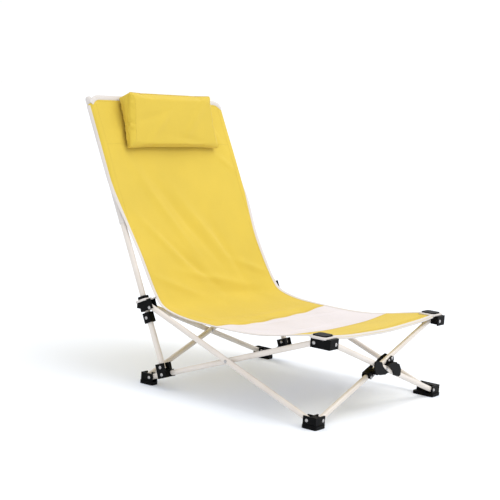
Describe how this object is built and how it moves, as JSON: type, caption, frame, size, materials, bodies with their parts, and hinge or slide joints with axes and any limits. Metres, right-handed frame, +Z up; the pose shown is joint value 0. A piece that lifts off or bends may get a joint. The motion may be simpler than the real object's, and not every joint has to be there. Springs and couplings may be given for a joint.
{
  "type": "folding camp chair",
  "caption": "Low folding camp chair: crossed white tubes, black moulded joints, two back posts and a hung fabric sling with a head pillow.",
  "frame": {"origin": "on the floor, under the middle of the chair's box", "axes": "+Z up, -Y towards the front of the chair (the sitter looks along -Y), +X towards the sitter's left"},
  "size_m": [0.6012, 0.8696, 0.7823],
  "materials": {
    "frame_paint": "satin cream-white powder coat",
    "moulding": "fine matt",
    "rivet": "bright",
    "washer": "plain nylon",
    "yellow_cloth": "plain woven polyester",
    "white_cloth": "plain woven polyester",
    "white_tape": "grosgrain binding",
    "pillow_cloth": "soft plain weave",
    "filling": "loose polyester fibre"
  },
  "bodies": {
    "foot_front_R": {"foot_front_R": "moulding"},
    "outer_tube_R": {"side_tube_outer_R": "frame_paint", "side_tube_outer_rivets_R": "rivet", "side_washer_R": "washer"},
    "inner_tube_R": {"side_tube_inner_R": "frame_paint", "side_tube_inner_rivets_R": "rivet", "post_clevis_R": "moulding"},
    "corner_R": {"corner_bracket_R": "moulding", "corner_cap_R": "moulding"},
    "outer_tube_L": {"side_tube_outer_L": "frame_paint", "side_tube_outer_rivets_L": "rivet", "side_washer_L": "washer"},
    "inner_tube_L": {"side_tube_inner_L": "frame_paint", "side_tube_inner_rivets_L": "rivet", "post_clevis_L": "moulding"},
    "corner_L": {"corner_bracket_L": "moulding", "corner_cap_L": "moulding"},
    "back_post_R": {"back_post_R": "frame_paint", "stop_collar_R": "moulding", "stop_collar_rivet_R": "rivet", "post_sleeve_R": "white_tape", "back_panel": "yellow_cloth", "top_binding": "white_tape", "pillow_cover": "pillow_cloth", "pillow_fill": "filling"},
    "back_post_L": {"back_post_L": "frame_paint", "stop_collar_L": "moulding", "stop_collar_rivet_L": "rivet", "post_sleeve_L": "white_tape"},
    "slider_R": {"slider_R": "moulding", "slider_rivets_R": "rivet", "slider_cap_R": "moulding", "slider_tab_R": "white_tape"},
    "slider_L": {"slider_L": "moulding", "slider_rivets_L": "rivet", "slider_cap_L": "moulding", "slider_tab_L": "white_tape"},
    "foot_rear_R": {"foot_rear_R": "moulding"},
    "foot_rear_L": {"foot_rear_L": "moulding"},
    "foot_front_L": {"foot_front_L": "moulding"},
    "rear_inner": {"rear_tube_inner": "frame_paint", "rear_tube_inner_rivets": "rivet"},
    "rear_outer": {"rear_tube_outer": "frame_paint", "rear_tube_outer_rivets": "rivet"},
    "front_inner": {"front_tube_inner": "frame_paint", "front_tube_inner_rivets": "rivet", "front_hub_bush": "washer", "front_hub_bracket_upper": "moulding", "front_hub_bracket_lower": "moulding"},
    "front_outer": {"front_tube_outer": "frame_paint", "front_tube_outer_rivets": "rivet"},
    "sling_rear": {"back_panel_lower": "yellow_cloth", "seat_panel_rear": "white_cloth", "edge_binding_rear_R": "white_tape", "edge_binding_rear_L": "white_tape"},
    "sling_front": {"seat_panel_front": "white_cloth", "front_panel": "yellow_cloth", "edge_binding_front_R": "white_tape", "edge_binding_front_L": "white_tape"}
  },
  "joints": [
    {"name": "fold", "type": "hinge", "parent": "foot_front_R", "child": "outer_tube_R", "pos_m": [-0.286, -0.38426, 0.02], "axis": [1, 0, 0], "range_deg": [0, 59.8], "deforming": ["back_panel", "back_panel_lower", "seat_panel_rear", "seat_panel_front", "front_panel", "edge_binding_rear_R", "edge_binding_rear_L", "edge_binding_front_R", "edge_binding_front_L", "top_binding", "post_sleeve_R", "post_sleeve_L", "slider_tab_R", "slider_tab_L", "pillow_cover", "pillow_fill"]},
    {"name": "side_cross_R", "type": "hinge", "parent": "outer_tube_R", "child": "inner_tube_R", "pos_m": [-0.2775, -0.11925, 0.1175], "axis": [1, 0, 0], "range_deg": [-120, 0]},
    {"name": "rear_foot_R", "type": "hinge", "parent": "inner_tube_R", "child": "foot_rear_R", "pos_m": [-0.269, 0.14575, 0.02], "axis": [1, 0, 0], "range_deg": [0, 59.8]},
    {"name": "front_corner_R", "type": "hinge", "parent": "inner_tube_R", "child": "corner_R", "pos_m": [-0.269, -0.38426, 0.215], "axis": [1, 0, 0], "range_deg": [0, 59.8]},
    {"name": "back_post_R", "type": "hinge", "parent": "inner_tube_R", "child": "back_post_R", "pos_m": [-0.285, 0.09539, 0.05983], "axis": [1, 0, 0], "range_deg": [0, 83.9]},
    {"name": "rear_inner_foot", "type": "hinge", "parent": "foot_rear_R", "child": "rear_inner", "pos_m": [-0.265, 0.16225, 0.02], "axis": [0, 1, 0], "range_deg": [-60.2, 0]},
    {"name": "rear_cross", "type": "hinge", "parent": "rear_inner", "child": "rear_outer", "pos_m": [0, 0.17025, 0.1175], "axis": [0, 1, 0], "range_deg": [0, 120]},
    {"name": "front_inner_foot", "type": "hinge", "parent": "foot_front_R", "child": "front_inner", "pos_m": [-0.265, -0.40075, 0.02], "axis": [0, 1, 0], "range_deg": [-60.2, 0]},
    {"name": "front_cross", "type": "hinge", "parent": "front_inner", "child": "front_outer", "pos_m": [0, -0.41075, 0.1175], "axis": [0, 1, 0], "range_deg": [0, 120]},
    {"name": "front_outer_foot", "type": "hinge", "parent": "front_outer", "child": "foot_front_L", "pos_m": [0.265, -0.42075, 0.02], "axis": [0, 1, 0], "range_deg": [-60.2, 0]},
    {"name": "outer_foot_L", "type": "hinge", "parent": "foot_front_L", "child": "outer_tube_L", "pos_m": [0.286, -0.38426, 0.02], "axis": [1, 0, 0], "range_deg": [0, 59.8]},
    {"name": "side_cross_L", "type": "hinge", "parent": "outer_tube_L", "child": "inner_tube_L", "pos_m": [0.2775, -0.11925, 0.1175], "axis": [1, 0, 0], "range_deg": [-120, 0]},
    {"name": "rear_foot_L", "type": "hinge", "parent": "inner_tube_L", "child": "foot_rear_L", "pos_m": [0.269, 0.14575, 0.02], "axis": [1, 0, 0], "range_deg": [0, 59.8]},
    {"name": "front_corner_L", "type": "hinge", "parent": "inner_tube_L", "child": "corner_L", "pos_m": [0.269, -0.38426, 0.215], "axis": [1, 0, 0], "range_deg": [0, 59.8]},
    {"name": "back_post_L", "type": "hinge", "parent": "inner_tube_L", "child": "back_post_L", "pos_m": [0.285, 0.09539, 0.05983], "axis": [1, 0, 0], "range_deg": [0, 83.9]},
    {"name": "slider_R", "type": "slide", "parent": "back_post_R", "child": "slider_R", "axis": [0, 0.4274, 0.9041], "range_m": [0, 0.3235]},
    {"name": "slider_L", "type": "slide", "parent": "back_post_L", "child": "slider_L", "axis": [0, 0.4274, 0.9041], "range_m": [0, 0.3235]},
    {"name": "sling_rear", "type": "hinge", "parent": "slider_R", "child": "sling_rear", "pos_m": [-0.272, 0.15074, 0.253], "axis": [1, 0, 0], "range_deg": [0, 48]},
    {"name": "sling_front", "type": "hinge", "parent": "corner_R", "child": "sling_front", "pos_m": [-0.272, -0.40425, 0.23], "axis": [1, 0, 0], "range_deg": [-69.8, 0]}
  ],
  "couplings": [
    {"joint": "side_cross_R", "follows": "fold", "ratio": -2},
    {"joint": "rear_foot_R", "follows": "fold", "ratio": 1},
    {"joint": "front_corner_R", "follows": "fold", "ratio": 1},
    {"joint": "back_post_R", "follows": "fold", "ratio": 1.396},
    {"joint": "rear_inner_foot", "follows": "fold", "ratio": -1},
    {"joint": "rear_cross", "follows": "fold", "ratio": 2},
    {"joint": "front_inner_foot", "follows": "fold", "ratio": -1},
    {"joint": "front_cross", "follows": "fold", "ratio": 2},
    {"joint": "front_outer_foot", "follows": "fold", "ratio": -1},
    {"joint": "outer_foot_L", "follows": "fold", "ratio": 1},
    {"joint": "side_cross_L", "follows": "fold", "ratio": -2},
    {"joint": "rear_foot_L", "follows": "fold", "ratio": 1},
    {"joint": "front_corner_L", "follows": "fold", "ratio": 1},
    {"joint": "back_post_L", "follows": "fold", "ratio": 1.396},
    {"joint": "slider_R", "follows": "fold", "m_per_rad": 0.30776},
    {"joint": "slider_L", "follows": "fold", "m_per_rad": 0.30776},
    {"joint": "sling_rear", "follows": "fold", "ratio": 0.796},
    {"joint": "sling_front", "follows": "fold", "ratio": -1.159}
  ]
}
